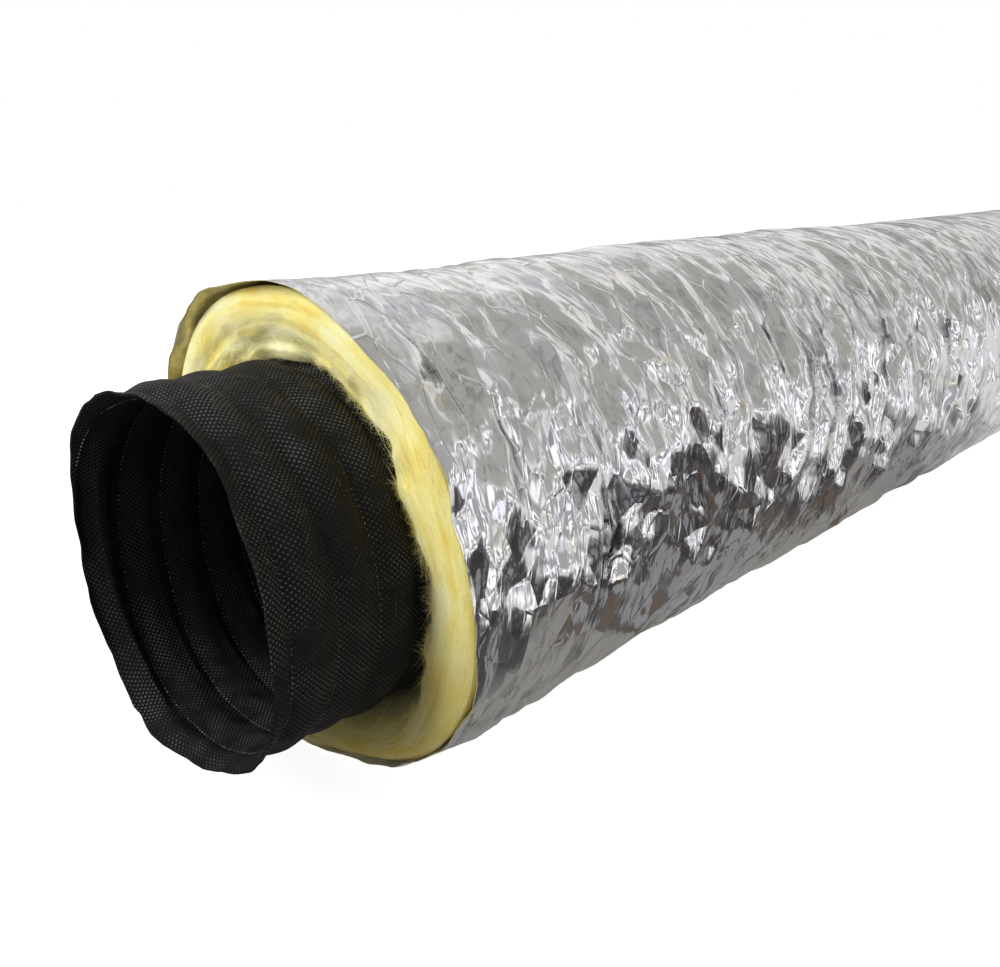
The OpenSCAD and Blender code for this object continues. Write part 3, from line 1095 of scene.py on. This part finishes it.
# Some creases are pinched into thin raised lines
pinched = ramp(tree, creased_cells(tree, 11 * MM, 32 * MM, 0.12), [(0.0, 1), (0.03, 0)])
worn = patches(tree, place, 38, 2, 0.5, [(0.40, 0), (0.58, 0.26)])
height = added(tree, height, multiplied(tree, pinched, worn))
creased = bump_node(tree, height, 1.0 * MM, 1.0)
tree.links.new(facing, creased.node.inputs["Normal"])
# Faint tints of the coat, and painted gold glints: some of the creases are brighter and golden
coat_tint_and_glints = patches(tree, lay_coordinates(tree, (1, 0.5, 1)), 60, 4, 0.6, [
    (0.30, (0.66, 0.645, 0.60)), (0.45, (0.72, 0.72, 0.71)),
    (0.58, (0.74, 0.74, 0.75)), (0.70, (0.71, 0.70, 0.76))])
gold_glint_crease = ramp(tree, large_cells, [(0.012, 1), (0.035, 0)])
gold_glint_place = patches(tree, place, 70, 2, 0.5, [(0.59, 0), (0.66, 0.6)])
coat_tint_and_glints = blend_colours(tree, multiplied(tree, gold_glint_crease, gold_glint_place), coat_tint_and_glints, (0.92, 0.84, 0.62))
set_inputs(tree, shader, {
    "Base Color": coat_tint_and_glints,
    "Metallic": 1.0,
    "Roughness": patches(tree, place, 130, 4, 0.6, [(0.35, 0.06), (0.7, 0.15)]),
    "Normal": creased})

# %% The plain inside
film_inside, tree, shader = new_material("film_inner_side")
set_inputs(tree, shader, {
    "Base Color": patches(tree, lay_coordinates(tree, (1, 0.4, 1)), 240, 4, 0.6, [
        (0.3, (0.55, 0.47, 0.20)), (0.55, (0.80, 0.72, 0.40)), (0.8, (0.90, 0.86, 0.64))]),
    "Metallic": 0.35,
    "Roughness": 0.38})
film.data.materials.append(film_coat)
film.data.materials.append(film_inside)
outer_faces = (len(film_x) - 1) * FILM_COLUMNS
finish_of_face = np.zeros(len(film.data.polygons), np.int32)
finish_of_face[outer_faces:] = 1
film.data.polygons.foreach_set("material_index", finish_of_face)
print("faces with the coat", outer_faces, "and plain", len(finish_of_face) - outer_faces)

# %% [markdown]
# ## Stray fibres on the liner
#
# Handling pulls single fibres out of the cloth and drops glass fibres on it. A particle system
# could scatter them, but wouldn't be part of a mesh. They are the same ribbons as before, spread
# thinly over the bare ends.

# %% Stray fibres
stray_random = np.random.default_rng(700)
STRAYS = 420
# The bare lengths of the liner, in metres
NEAR_BARE, FAR_BARE = (0.004, 0.054), (0.946, 0.996)
stray_phi = stray_random.uniform(0, 2 * math.pi, STRAYS)
stray_x = np.where(stray_random.random(STRAYS) < 0.5, stray_random.uniform(*NEAR_BARE, STRAYS),
                   stray_random.uniform(*FAR_BARE, STRAYS))
stray_r = outer_surface(stray_x, stray_phi) + 0.12 * MM
stray_out, stray_side = round_directions(stray_phi)
stray_heading = unit(stray_side * stray_random.normal(0, 1, (STRAYS, 1)) + 0.05 * stray_out
                     + np.array([1.0, 0, 0]) * stray_random.normal(0, 1, (STRAYS, 1)))
lint_finish, tree, shader = new_material("stray_lint")
lint_tone = noise_node(tree, object_coordinates(tree), 300, 2, 0.5)
set_inputs(tree, shader, {
    "Base Color": ramp(tree, lint_tone, [(0.4, (0.08, 0.08, 0.07)), (0.6, (0.24, 0.23, 0.17))]),
    "Roughness": 0.7})
ribbons("stray_fibres", point_at(stray_x, stray_r, stray_phi), stray_heading,
        stray_random.normal(0, 0.35, (STRAYS, 3)) * (1 - np.abs(stray_out)),
        stray_random.uniform(2, 8, STRAYS) * MM, stray_random.uniform(0.06, 0.13, STRAYS) * MM,
        stray_out, lint_finish, "liner")

# %% [markdown]
# ## Studio
#
# The duct lies on a pale floor that runs into a white background. The floor is white to the camera
# and to reflections, and still takes the duct's shadow. Bright metal shows what stands round it, so
# a photographer hangs a tent of uneven grey cloth over it and lays a dark board beside it, or the
# film would look like white paper. A picture of a real studio could stand in for both, but plain
# nodes leave every tone in reach. Both show only in reflections.

# %% Floor and world
def ray_is(tree, *kinds):
    """1 for a ray of one of these kinds."""
    path = tree.nodes.new("ShaderNodeLightPath")
    total = path.outputs[kinds[0]]
    for kind in kinds[1:]:
        total = math_node(tree, "MAXIMUM", total, path.outputs[kind])
    return total


def plain_piece(name, points, faces):
    mesh = bpy.data.meshes.new(name)
    mesh.from_pydata(points, [], faces)
    piece = bpy.data.objects.new(name, mesh)
    bpy.context.scene.collection.objects.link(piece)
    return piece


def rectangle(name, low, high, z):
    """A level rectangle between two corners, each given as (x, y)."""
    corners = ((low[0], low[1]), (high[0], low[1]), (high[0], high[1]), (low[0], high[1]))
    return plain_piece(name, [(x, y, z) for x, y in corners], [(0, 1, 2, 3)])


SEEN = ("Is Camera Ray", "Is Glossy Ray", "Is Transmission Ray")
floor = rectangle("floor", (-5, -5), (6, 5), floor_z)
floor_paper, tree, shader = new_material("floor_paper")
set_inputs(tree, shader, {"Base Color": rgba(0.50), "Roughness": 0.9, "Specular IOR Level": 0.1})
glow = tree.nodes.new("ShaderNodeEmission")
feed(tree, glow.inputs["Strength"], multiplied(tree, ray_is(tree, *SEEN), 0.90))
both = tree.nodes.new("ShaderNodeAddShader")
tree.links.new(shader.outputs[0], both.inputs[0])
tree.links.new(glow.outputs[0], both.inputs[1])
tree.links.new(both.outputs[0], tree.nodes["Material Output"].inputs["Surface"])
floor.data.materials.append(floor_paper)

world = bpy.data.worlds.new("studio")
bpy.context.scene.world = world
world.use_nodes = True
tree = world.node_tree
tree.nodes.clear()
choose = tree.nodes.new("ShaderNodeMixShader")
tree.links.new(ray_is(tree, *SEEN), choose.inputs[0])
# Dim white lights the duct, and full white is what the camera and reflections see
for socket, strength in ((choose.inputs[1], 0.25), (choose.inputs[2], 1.0)):
    white = tree.nodes.new("ShaderNodeBackground")
    set_inputs(tree, white, {"Color": rgba(1), "Strength": strength})
    tree.links.new(white.outputs[0], socket)
world_output = tree.nodes.new("ShaderNodeOutputWorld")
tree.links.new(choose.outputs[0], world_output.inputs["Surface"])
print("floor at", round(floor_z / MM, 1), "mm")

# %% Studio tent, seen only in reflections
def only_reflected(piece, material, colour):
    """The piece glows with a colour of its own, and shows in reflections alone."""
    tree = material.node_tree
    glow = tree.nodes.new("ShaderNodeEmission")
    tree.links.new(colour, glow.inputs["Color"])
    tree.links.new(glow.outputs[0], tree.nodes["Material Output"].inputs["Surface"])
    piece.data.materials.append(material)
    piece.visible_camera = piece.visible_diffuse = piece.visible_shadow = False
    piece.visible_transmission = False


TENT_R = 3.0
TENT_MIDDLE = (0.5, 0.0, floor_z)
across_tent, up_tent = np.radians(np.arange(0, 360, 5.0)), np.radians(np.linspace(0, 90, 19))
tent_points = [(TENT_MIDDLE[0] + TENT_R * math.cos(u) * math.cos(a),
                TENT_R * math.cos(u) * math.sin(a),
                floor_z + TENT_R * math.sin(u)) for u in up_tent for a in across_tent]
count = len(across_tent)
tent_quads = [(i * count + j, i * count + (j + 1) % count,
               (i + 1) * count + (j + 1) % count, (i + 1) * count + j)
              for i in range(len(up_tent) - 1) for j in range(count)]
tent = plain_piece("tent", tent_points, tent_quads)
print("tent", len(tent_quads), "quads")


# %% Cloth of the tent
def opening(tree, way, y_edges, z_edges):
    """1 inside a soft-edged opening of the tent, told by the direction to it."""
    return multiplied(tree, smooth_range(tree, component(tree, way, "Y"), *y_edges),
                      smooth_range(tree, component(tree, way, "Z"), *z_edges))


cloth, tree, _ = new_material("tent_cloth")
from_middle = vector_node(tree, "SUBTRACT", object_coordinates(tree), TENT_MIDDLE)
way = vector_node(tree, "NORMALIZE", from_middle)
# Grey cloth, darkest along the floor, with a darker hood overhead
tone = ramp(tree, component(tree, way, "Z"), [
    (0.0, 0.44), (0.12, (0.56, 0.56, 0.555)), (0.24, (0.80, 0.80, 0.795)),
    (0.40, (0.95, 0.95, 0.94)), (0.62, (0.92, 0.92, 0.91)), (1.0, (0.80, 0.80, 0.79))])
hood = opening(tree, way, (0.34, 0.10), (0.46, 0.64))
tone = blend_colours(tree, hood, tone, (0.50, 0.495, 0.47))
# A bright opening along the duct's front, broken up by darker patches, and a weaker one behind it
front = opening(tree, way, (-0.22, -0.36), (0.57, 0.43))
tone = blend_colours(tree, front, tone, (0.44, 0.44, 0.45))
behind = opening(tree, way, (0.15, 0.55), (0.16, 0.34))
window = added(tree, multiplied(tree, front, 1.15), multiplied(tree, behind, 0.18))
broken = patches(tree, way, 6.5, 1, 0.4, [(0.50, 0.03), (0.56, 1)])
cold = patches(tree, vector_node(tree, "ADD", way, (3, 1, 2)), 4.0, 2, 0.5,
               [(0.48, 1), (0.62, (0.80, 0.80, 1.0))])
light = shaded(tree, cold, multiplied(tree, window, broken))
stains = patches(tree, vector_node(tree, "ADD", way, (7, 5, 1)), 3.2, 1, 0.5,
                 [(0.34, (0.64, 0.64, 0.66)), (0.52, 1)])
only_reflected(tent, cloth, blend_colours(tree, 1.0, shaded(tree, tone, stains), light, "ADD"))

# %% Floor as the film sees it
CARD_LIFT = 1 * MM
floor_card = rectangle("floor_card", (-2.4, -2.8), (3.4, 2.8), floor_z + CARD_LIFT)
board, tree, _ = new_material("floor_card_board")
place = object_coordinates(tree)
away = math_node(tree, "ABSOLUTE", component(tree, place, "Y"))
# Dim paper close by the duct is the duct's painted shadow; then the dark board, then dim paper
# again
shade = ramp(tree, away, [
    (0.0, (0.27, 0.26, 0.245)), (0.10, (0.32, 0.31, 0.295)), (0.16, (0.10, 0.095, 0.10)),
    (0.30, (0.05, 0.046, 0.055)), (0.75, (0.10, 0.095, 0.11)), (1.0, (0.40, 0.40, 0.41))])
# Pale streaks, dark spots and warm spots break it up: (noise scale, where they start, colour)
for scale, start, colour in ((9, [(0.55, 0), (0.58, 1)], (0.31, 0.305, 0.32)),
                             (12, [(0.56, 0), (0.60, 0.8)], (0.10, 0.095, 0.09)),
                             (12, [(0.62, 0), (0.70, 0.5)], (0.19, 0.11, 0.06))):
    shade = blend_colours(tree, patches(tree, place, scale, 1, 0.5, start), shade, colour)
# Toward the far end the board stops, and the film shows the pale floor
past_board = multiplied(tree, smooth_range(tree, component(tree, place, "X"), 0.48, 0.87), 0.9)
only_reflected(floor_card, board, blend_colours(tree, past_board, shade, (0.95, 0.95, 0.95)))
print("floor card", round(floor_card.dimensions.x, 1), "by", round(floor_card.dimensions.y, 1), "m")

# %% [markdown]
# ## Lamps
#
# The duct's shadow on the floor is faint and soft, so the lamps have to be large. A sun lamp would
# draw a hard edge. Area lamps are the soft boxes of a studio: the larger they are, the softer the
# light. They stay out of reflections, where the tent already gives the film its bright places.

# %% Aim soft boxes at the duct
def aim(place, target):
    """A matrix whose -Z looks from place to target."""
    back = unit(np.array(place, float) - np.array(target, float))
    right = unit(np.cross([0, 0, 1.0], back))
    up = np.cross(back, right)
    rows = [[right[i], up[i], back[i], place[i]] for i in range(3)]
    return Matrix([[float(v) for v in row] for row in rows] + [[0, 0, 0, 1]])


def soft_box(name, place, target, width, height, watts):
    data = bpy.data.lights.new(name, "AREA")
    data.shape, data.size, data.size_y, data.energy = "RECTANGLE", width, height, watts
    lamp = bpy.data.objects.new(name, data)
    lamp.matrix_world = aim(place, target)
    lamp.visible_glossy = False
    bpy.context.scene.collection.objects.link(lamp)
    print(name, watts, "W")


# A strong lamp beyond the near mouth, and two long weak ones beside the duct
soft_box("key_soft_box", (-1.4, 0.75, 1.25), (0.1, 0, 0), 1.1, 1.1, 46)
soft_box("strip_soft_box", (2.0, -1.7, 0.95), (0.6, 0, 0), 2.8, 0.9, 6)
soft_box("back_soft_box", (1.2, 1.7, 0.95), (0.5, 0, 0), 2.8, 0.9, 9)

# %% Keep the view settings plain and finish
bpy.context.scene.view_settings.view_transform = "Standard"
